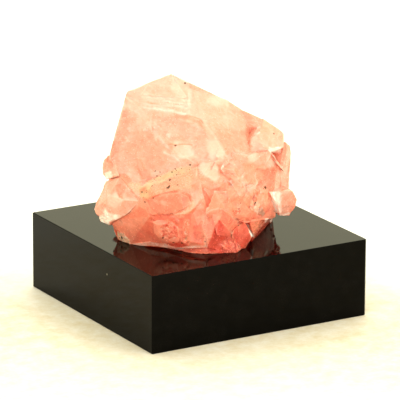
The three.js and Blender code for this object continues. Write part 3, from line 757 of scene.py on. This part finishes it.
FRONT_VIEW = math.radians(16.6)  # the elevation of the front view
TOWARDS_VIEW = np.array((0, -math.cos(FRONT_VIEW), math.sin(FRONT_VIEW)))
MAP_U, MAP_V = (-18, 18), (-8, 26)  # what the map of fine places covers, in millimetres
GRID = 0.1  # its spacing, in millimetres
FAR = 99.0  # farther than anything in it
CRISP = 0.2  # borders up to this wide are crisp
CRUMBLY = 0.5  # outlines with more crumbs than this are fine all over
MOST_TILT = 0.16  # slope that the smallest outlined face has against the surface round it
TILT_TURN = 2.4  # each leans this much further round than the one before it, in radians
FLAT_SIZE = 8.0  # outlined faces from this size up aren't tilted, in millimetres
CREASE = 0.06  # depth of the thin lines, in millimetres


def front_view(p):
    """Places as they look from a little above: millimetres to the right, and up that view."""
    return p[:, 0], p[:, 2] * math.cos(FRONT_VIEW) + p[:, 1] * math.sin(FRONT_VIEW)


def line_distance(u, v, points):
    """Distance to a line through the points."""
    nearest = np.full(len(u), FAR)
    for (u0, v0), (u1, v1) in zip(points, points[1:]):
        du, dv = u1 - u0, v1 - v0
        t = np.clip(((u - u0) * du + (v - v0) * dv) / (du * du + dv * dv), 0, 1)
        nearest = np.minimum(nearest, np.hypot(u - u0 - t * du, v - v0 - t * dv))
    return nearest


def outline_distance(u, v, outline):
    """Distance to a closed outline, negative inside it."""
    inside = np.zeros(len(u), bool)
    for (u0, v0), (u1, v1) in zip(outline, outline[1:] + outline[:1]):
        if v0 != v1:
            inside ^= ((v0 > v) != (v1 > v)) & (u < u0 + (v - v0) * (u1 - u0) / (v1 - v0))
    return np.where(inside, -1, 1) * line_distance(u, v, outline + outline[:1])


def fine_places():
    """How close the nearest thin line or crisp border is, over the front view."""
    u, v = np.meshgrid(np.arange(*MAP_U, GRID), np.arange(*MAP_V, GRID))
    shape, u, v = u.shape, u.ravel(), v.ravel()
    nearest = np.full(len(u), FAR)
    for (_, _, _, _, crumbs, soft, _), outline in zip(FACETS, OUTLINES):
        d = outline_distance(u, v, outline)
        if soft <= CRISP:
            nearest = np.minimum(nearest, np.abs(d))
        if crumbs > CRUMBLY:
            nearest = np.minimum(nearest, d)
    for route in ROUTES:
        nearest = np.minimum(nearest, line_distance(u, v, route))
    nearest = nearest.reshape(shape)

    def look_up(p):
        u, v = front_view(p)
        column = np.clip(((u - MAP_U[0]) / GRID).astype(int), 0, shape[1] - 1)
        row = np.clip(((v - MAP_V[0]) / GRID).astype(int), 0, shape[0] - 1)
        return nearest[row, column]
    return look_up


def tilted(u, v, outline, number):
    """How far an outlined face stands out at each point: it leans a way of its own."""
    corners = np.array(outline)
    middle, size = corners.mean(0), np.ptp(corners, 0).max()
    slope = MOST_TILT * max(0, 1 - size / FLAT_SIZE)
    turn = TILT_TURN * number
    return slope * ((u - middle[0]) * math.cos(turn) + (v - middle[1]) * math.sin(turn))


# On every side: the tone at each height above the block, and the size of the cleaved patches.
# The paler top is partly painted light from above, and the redder foot partly painted shade near the block.
TONE_HEIGHTS, TONES = (0, 3, 8, 13, 19, 24), (0.84, 0.7, 0.58, 0.52, 0.46, 0.38)
PATCH_SIZE = 4.2
PATCH_TONE = 0.26  # the tones of two patches differ by up to this
SHAKE, WANDER = 0.07, 0.45  # how far crisp and soft borders stray, in millimetres
STRAY = (0.26, 0.09)  # how far the tones of single facets differ: at the back, at the front


def looks(p, normals, faces, flat):
    """The look and lift of each vertex, its level lines, and how each facet's own tone strays."""
    shake = np.stack([value_noise(p, 0.9, 66 + k) for k in range(3)], 1) * SHAKE
    wander = np.stack([fractal(p, 2.2, 70 + k) for k in range(3)], 1) * WANDER
    views = {True: front_view(p + shake), False: front_view(p + wander)}
    # what every side has: paler towards the top, partly as painted light from above, in large cleaved patches
    owner, _ = cells(p + wander * 1.2, PATCH_SIZE, 75)
    patch = hashed(owner, 76) - 0.5
    tone = np.interp(p[:, 2] + 2 * wander[:, 0], TONE_HEIGHTS, TONES) + PATCH_TONE * patch
    clear = 0.3 + 0.2 * (hashed(owner, 77) - 0.3)
    milky = smooth(0.32, 0.44, hashed(owner, 78) - 0.5)
    tone, clear = tone * (1 - 0.22 * milky), clear * (1 - 0.6 * milky)
    # painted shade: faces that look down, low on the cluster near the block, are turned towards deep red and
    # half clear
    under = smooth(-0.15, -0.6, normals[:, 2]) * smooth(7, 3, p[:, 2])
    tone, clear = tone + (1 - tone) * under, clear + (0.5 - clear) * under
    look = np.stack((tone, clear, np.zeros(len(p)), np.zeros(len(p))), 1)
    front = smooth(0.0, 0.3, normals @ TOWARDS_VIEW)[:, None]
    lift = np.zeros(len(p))
    for number, ((_, tone, clear, stain, crumbs, soft, _), outline) in enumerate(zip(FACETS, OUTLINES)):
        view = views[soft <= CRISP]
        d = outline_distance(*view, outline)
        w = front * smooth(soft / 2, -soft / 2, d)[:, None]
        look = look + (np.array((tone, clear, stain, crumbs)) - look) * w
        lift += (tilted(*view, outline, number) - lift) * w[:, 0]
    for (_, tone, width, _), route in zip(LINES, ROUTES):
        d = line_distance(*views[True], route)
        w = front[:, 0] * smooth(width, width * 0.35, d)
        look[:, 0] += (tone - look[:, 0]) * w
        lift -= CREASE * w
    lines = front[:, 0] * smooth(0.6, -0.8, outline_distance(*views[False], LEVEL_LINES))
    # each flat facet has a tone of its own
    turn = np.round(flat * 14).astype(np.int64)
    stray = (hashed(turn, 79) - 0.5) * np.interp(front[faces].mean((1, 2)), (0, 1), STRAY)
    return look, lift, lines, stray


# Dark specks of other minerals: each one's pixel in the photo, and its radius in millimetres.
SPECKS = [
    (152, 186, 0.12), (157, 176, 0.1), (160, 172, 0.1), (170, 180, 0.2),
    (168, 187.5, 0.22), (169, 186, 0.17), (175, 169, 0.11), (172, 172, 0.09),
    (176.5, 175, 0.12), (177.5, 185, 0.11), (155, 171, 0.1), (190, 165, 0.13),
    (142, 192, 0.12), (153, 198, 0.1), (145, 202, 0.11), (175.5, 145.5, 0.15),
    (185, 83, 0.12), (274, 133.5, 0.13), (261.5, 190, 0.07), (263, 188.8, 0.1),
    (265, 187.8, 0.2), (255.5, 203, 0.13), (238.5, 225.5, 0.12), (240.5, 203, 0.1),
    (268.5, 199, 0.06), (122, 237.5, 0.2), (163, 238, 0.12), (173.5, 243, 0.15),
    (182, 243, 0.14), (205, 241.5, 0.11), (203.5, 237, 0.08), (106, 181, 0.12),
    (222.5, 248, 0.09), (227, 241, 0.08), (233, 242, 0.09), (239, 209, 0.1),
    (274, 211, 0.09),
]
SPECK_COLOUR = (0.07, 0.028, 0.004)
STAIN_COLOUR = (0.76, 0.6, 0.36)
REFRACTION = 1.434  # of fluorite
SOFTNESS = 0.9  # the share of light that scatters under the surface
SOFT_RADIUS = (0.35, 0.45, 0.45)  # how far each colour of it goes, in parts of the scale
SOFT_SCALE = 0.0005
GLASS_COLOUR = (0.99, 0.62, 0.42, 1)
GLASS_DENSITY = 80.0
# The colour of each tone.
TONE_COLOURS = [
    (0.0, (1.0, 0.97, 0.9)), (0.12, (1.0, 0.79, 0.7)), (0.2, (1.0, 0.69, 0.6)), (0.35, (1.0, 0.6, 0.5)),
    (0.5, (1.0, 0.475, 0.36)), (0.65, (0.97, 0.365, 0.245)), (0.8, (0.91, 0.245, 0.16)),
    (0.92, (0.82, 0.15, 0.1)), (1.0, (0.72, 0.1, 0.065)),
]


def fluorite_material():
    mat, nodes, shader = material("fluorite")
    coords = nodes.add("ShaderNodeTexCoord").outputs["Object"]
    local = nodes.add("ShaderNodeMapping")
    local.inputs["Location"].default_value = (0, 0, -BLOCK_TOP / MM)
    local.inputs["Rotation"].default_value = (0, 0, -CLUSTER_TURN)
    local.inputs["Scale"].default_value = (1 / MM,) * 3
    nodes.link(coords, local.inputs["Vector"])
    p = local.outputs[0]

    def attribute(name):
        node = nodes.add("ShaderNodeAttribute")
        node.attribute_name = name
        split = nodes.add("ShaderNodeSeparateColor")
        nodes.link(node.outputs["Color"], split.inputs[0])
        return [*split.outputs[:3], node.outputs["Alpha"]]

    tone, clear, stain, crumbs = attribute("looks")
    folds, lines, _, _ = attribute("marks")

    def stretched(scale, direction=None, shift=0.0):
        """The local coordinates, turned so that z lies along a direction, then scaled."""
        vector = p
        if direction is not None:
            turn = nodes.add("ShaderNodeMapping")
            upright = Vector(direction).to_track_quat("Z", "Y").inverted()
            turn.inputs["Rotation"].default_value = upright.to_euler()
            turn.inputs["Location"].default_value = (shift, shift * 2, 0)
            nodes.link(vector, turn.inputs["Vector"])
            vector = turn.outputs[0]
        stretch = nodes.add("ShaderNodeMapping")
        stretch.inputs["Scale"].default_value = scale
        nodes.link(vector, stretch.inputs["Vector"])
        return stretch.outputs[0]

    def veils(direction, across, along, low, high, shift):
        """Thin milky sheets that lie along one cleavage direction."""
        sheet = nodes.noise(stretched((1 / along, 1 / along, 1 / across), direction, shift), 1.0, 3, 0.5, 0.5)
        return nodes.ramp(sheet, [(low, 0.0), (high, 1.0)], "EASE")

    blocks = nodes.add("ShaderNodeMapping")
    blocks.inputs["Rotation"].default_value = Matrix(CUBE_AXES.tolist()).to_euler()
    nodes.link(p, blocks.inputs["Vector"])
    warp = nodes.add("ShaderNodeTexNoise")
    warp.inputs["Scale"].default_value = 0.5
    nodes.link(p, warp.inputs["Vector"])
    bent = nodes.add("ShaderNodeVectorMath")
    bent.operation = "MULTIPLY_ADD"
    bent.inputs[1].default_value = (0.9, 0.9, 0.9)
    nodes.link(warp.outputs["Color"], bent.inputs[0])
    nodes.link(blocks.outputs[0], bent.inputs[2])

    def mosaic(scale, vector=bent.outputs[0], channel=0):
        """A random number for each small cleaved block of the crystal."""
        node = nodes.add("ShaderNodeTexVoronoi")
        node.distance = "MANHATTAN"
        node.inputs["Scale"].default_value = scale
        nodes.link(vector, node.inputs["Vector"])
        part = nodes.add("ShaderNodeSeparateColor")
        nodes.link(node.outputs["Color"], part.inputs[0])
        return part.outputs[channel]

    def healed_cracks(scale, thin, seed):
        """Thin winding lines where old fractures have healed."""
        sheet = nodes.noise(stretched((scale, scale, scale * 1.8), (0.3, 0.5, 0.8), seed), 1.0, 3, 0.55, 0.3)
        fold = nodes.math("ABSOLUTE", nodes.math("SUBTRACT", sheet, 0.5))
        return nodes.ramp(fold, [(0.0, 1.0), (thin, 0.0)])

    mottle = nodes.noise(p, 0.5, 5, 0.6, 0.4)
    cloud = nodes.noise(p, 1.4, 4, 0.6, 0.6)
    grain = nodes.noise(p, 3.4, 3, 0.6)
    large, small = (nodes.times(mosaic(scale), 0.5) for scale in (0.36, 1.0))
    tiles = nodes.plus(large, small)
    patch = nodes.ramp(nodes.noise(p, 0.3, 3, 0.5), [(0.42, 0.0), (0.66, 1.0)])
    level_veils = veils(UPPER_FACE_WAY, 0.5, 4.5, 0.5, 0.75, 3.1)
    veil = nodes.math("MAXIMUM", level_veils, veils(FRONT_STEP_WAY, 0.8, 5.0, 0.52, 0.78, 7.7))
    veil = nodes.times(veil, patch)
    broken = nodes.ramp(cloud, [(0.4, 0.2), (0.6, 1.0)])
    cracks = nodes.times(healed_cracks(0.32, 0.012, 2.0), broken)
    level = nodes.noise(stretched((0.12, 0.3, 2.6), (0.13, 0, 1), 1.0), 1.0, 3, 0.65)

    def stray(value, amount):
        """A value from 0 to 1 as a change of tone either way."""
        return nodes.times(nodes.math("SUBTRACT", value, 0.5), amount)

    shade = tone
    for change in (stray(mottle, 0.14), stray(cloud, 0.12), stray(grain, 0.06), stray(tiles, 0.1),
                   nodes.times(stray(level, 0.8), lines),
                   nodes.times(stray(mosaic(2.4, p), 0.8), crumbs)):
        shade = nodes.plus(shade, change)
    # paler in milky veils and healed cracks; paler along outward folds is a painted highlight on the edges
    for paler in (nodes.times(veil, 0.13), nodes.times(cracks, 0.1),
                  nodes.times(folds, 0.06)):
        shade = nodes.math("SUBTRACT", shade, paler)
    shade = nodes.math("MAXIMUM", shade, 0.0)
    colour = nodes.ramp(shade, TONE_COLOURS)
    uneven = nodes.ramp(nodes.noise(p, 0.9, 4, 0.6), [(0.35, 0.35), (0.65, 1.0)])
    yellow = nodes.times(stain, uneven)
    colour = nodes.mix(yellow, colour, STAIN_COLOUR)

    # specks: the list above, a fine dust of them where the stain is, and brown crumbs
    size = nodes.ramp(nodes.noise(p, 6.0, 2), [(0.3, 0.7), (0.7, 1.7)])
    dark = None
    for x, y, radius in SPECKS:
        place = on_stone(x, y)
        if place is None:
            continue
        away = nodes.add("ShaderNodeVectorMath")
        away.operation = "DISTANCE"
        away.inputs[1].default_value = tuple(place)
        nodes.link(p, away.inputs[0])
        hit = nodes.math("LESS_THAN", away.outputs["Value"], nodes.times(size, radius))
        dark = hit if dark is None else nodes.math("MAXIMUM", dark, hit)
    dust = nodes.math("LESS_THAN", nodes.voronoi(p, 2.0), nodes.times(size, 0.13))
    dusty = nodes.ramp(nodes.times(stain, mottle), [(0.1, 0.0), (0.24, 1.0)])
    dust = nodes.times(dust, dusty)
    brown = nodes.times(nodes.math("LESS_THAN", mosaic(2.4, p, 1), 0.08), crumbs)
    dark = nodes.math("MAXIMUM", dark, nodes.math("MAXIMUM", dust, nodes.times(brown, 0.7)))
    colour = nodes.mix(nodes.times(dark, 0.95), colour, SPECK_COLOUR)
    nodes.link(colour, shader.inputs["Base Color"])

    milk = nodes.math("MAXIMUM", dark, nodes.times(nodes.math("MAXIMUM", veil, folds), 0.6))
    glass = nodes.times(clear, nodes.ramp(cloud, [(0.35, 0.75), (0.65, 1.2)]))
    glass = nodes.times(glass, nodes.math("SUBTRACT", 1.0, milk), clamp=True)
    nodes.link(glass, shader.inputs["Transmission Weight"])

    rough = nodes.ramp(grain, [(0.3, 0.12), (0.7, 0.3)])
    rough = nodes.plus(rough, nodes.times(stain, 0.25))
    rough = nodes.plus(rough, nodes.times(dark, 0.6))
    nodes.link(rough, shader.inputs["Roughness"])
    bump = nodes.add("ShaderNodeBump")
    bump.inputs["Strength"].default_value = 0.2
    bump.inputs["Distance"].default_value = 0.00005
    height = nodes.plus(nodes.noise(p, 2.4, 4, 0.6), nodes.times(cracks, 0.25))
    height = nodes.plus(height, nodes.times(nodes.times(level, lines), 0.8))
    nodes.link(height, bump.inputs["Height"])
    nodes.link(bump.outputs[0], shader.inputs["Normal"])
    shader.inputs["IOR"].default_value = REFRACTION
    shader.inputs["Subsurface Weight"].default_value = SOFTNESS
    shader.inputs["Subsurface Radius"].default_value = SOFT_RADIUS
    shader.inputs["Subsurface Scale"].default_value = SOFT_SCALE

    absorb = nodes.add("ShaderNodeVolumeAbsorption")
    absorb.inputs["Color"].default_value = GLASS_COLOUR
    absorb.inputs["Density"].default_value = GLASS_DENSITY
    nodes.link(absorb.outputs[0], mat.node_tree.nodes["Material Output"].inputs["Volume"])
    return mat


# ---------------------------------------------------------------- fluorite: the piece
LONGEST_EDGE = 0.45  # of the mesh, in millimetres
FINE_EDGE = 0.22  # where thin lines, crisp borders and crumbs are
FINE_REACH = 0.13  # how near those it is that fine
FINE_END = 0.0  # and only in front of this depth
BACK_START = 3.0  # from this depth on, the edges are longer
BACK_SHARE = 1.4  # by this
WELD_DIGITS = 4  # corners that agree to this many digits are one, in millimetres
EVENING = 10  # rounds of evening out that find the splinters
SPLINTER = (0.3, 0.6)  # a point moved this far by them belongs to a splinter: a little, fully
BEHIND = (-6, -1)  # splinters are drawn in behind this depth: a little, fully
UNDER_TOP = (21, 18)  # and under this height
SEAT_GAP = 0.3  # the solids leave this between the cluster and the block
SEAT_REACH = 2.0  # the cluster's foot is drawn down to the block below this height
CONTACT = 0.01  # what is left of the gap
SHARP_ANGLE = math.radians(28)


def colour_attribute(mesh, name, *channels):
    """A colour attribute with a value for each face corner."""
    attribute = mesh.attributes.new(name, "FLOAT_COLOR", "CORNER")
    values = np.zeros((len(channels[0]), 4), np.float32)
    for k, channel in enumerate(channels):
        values[:, k] = channel
    attribute.data.foreach_set("color", values.ravel())


def blunted(points, faces):
    """Draws in the thin splinters at the back and the sides, where evening out would move them far."""
    ends = np.concatenate([faces[:, [0, 1]], faces[:, [1, 2]], faces[:, [2, 0]]]).T
    degree = np.bincount(ends[0], minlength=len(points))
    evened = points
    for _ in range(EVENING):
        around = [np.bincount(ends[0], evened[ends[1], axis], len(points)) / degree for axis in range(3)]
        evened = (evened + np.stack(around, 1)) / 2
    away = evened - points
    behind = smooth(*BEHIND, points[:, 1]) * smooth(*UNDER_TOP, points[:, 2])
    share = smooth(*SPLINTER, np.linalg.norm(away, axis=1)) * behind
    return points + share[:, None] * away


def fluorite():
    points, triangles = SOLID
    p, index = np.unique(np.round(points, WELD_DIGITS), axis=0, return_inverse=True)
    faces = index.reshape(-1)[triangles]
    distinct = (faces != np.roll(faces, 1, 1)).all(1)
    coarse = 1.0
    fine = fine_places()

    def reach(middle):
        edge = LONGEST_EDGE * np.where(middle[:, 1] > BACK_START, BACK_SHARE, 1.0)
        near_line = (fine(middle) < FINE_REACH) & (middle[:, 1] < FINE_END)
        return coarse * np.where(near_line, FINE_EDGE, edge)

    p, faces = refined(p, faces[distinct].astype(np.int64), reach)
    p = blunted(p, faces)
    flat = unit(face_normals(p, faces))
    normals = vertex_normals(p, faces)
    folds = convex_edges(p, faces, flat)
    look, lift, lines, stray = looks(p, normals, faces, flat)
    move = relief(p, normals, folds, lift, look[:, 3])
    low, high = p.min(0), p.max(0)
    p = p + normals * move[:, None]
    p = np.clip(p, low, high)
    p[:, 2] -= (SEAT_GAP - CONTACT) * np.clip((SEAT_REACH - p[:, 2]) / (SEAT_REACH - SEAT_GAP), 0, 1)

    mesh = bpy.data.meshes.new("fluorite")
    mesh.vertices.add(len(p))
    mesh.vertices.foreach_set("co", part_points(p).ravel())
    mesh.loops.add(len(faces) * 3)
    mesh.loops.foreach_set("vertex_index", faces.ravel().astype(np.int32))
    mesh.polygons.add(len(faces))
    mesh.polygons.foreach_set("loop_start", np.arange(0, len(faces) * 3, 3, dtype=np.int32))
    mesh.update(calc_edges=True)
    mesh.validate()
    corners = look[faces.ravel()]
    corners[:, 0] += np.repeat(stray, 3)
    colour_attribute(mesh, "looks", *corners.T)
    colour_attribute(mesh, "marks", folds[faces.ravel()], lines[faces.ravel()])
    mesh.shade_smooth()
    mesh.set_sharp_from_angle(angle=SHARP_ANGLE)
    mesh.materials.append(fluorite_material())

    obj = bpy.data.objects.new("fluorite", mesh)
    bpy.context.scene.collection.objects.link(obj)
    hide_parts("fluorite_cluster")
    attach(obj, "root")


fluorite()
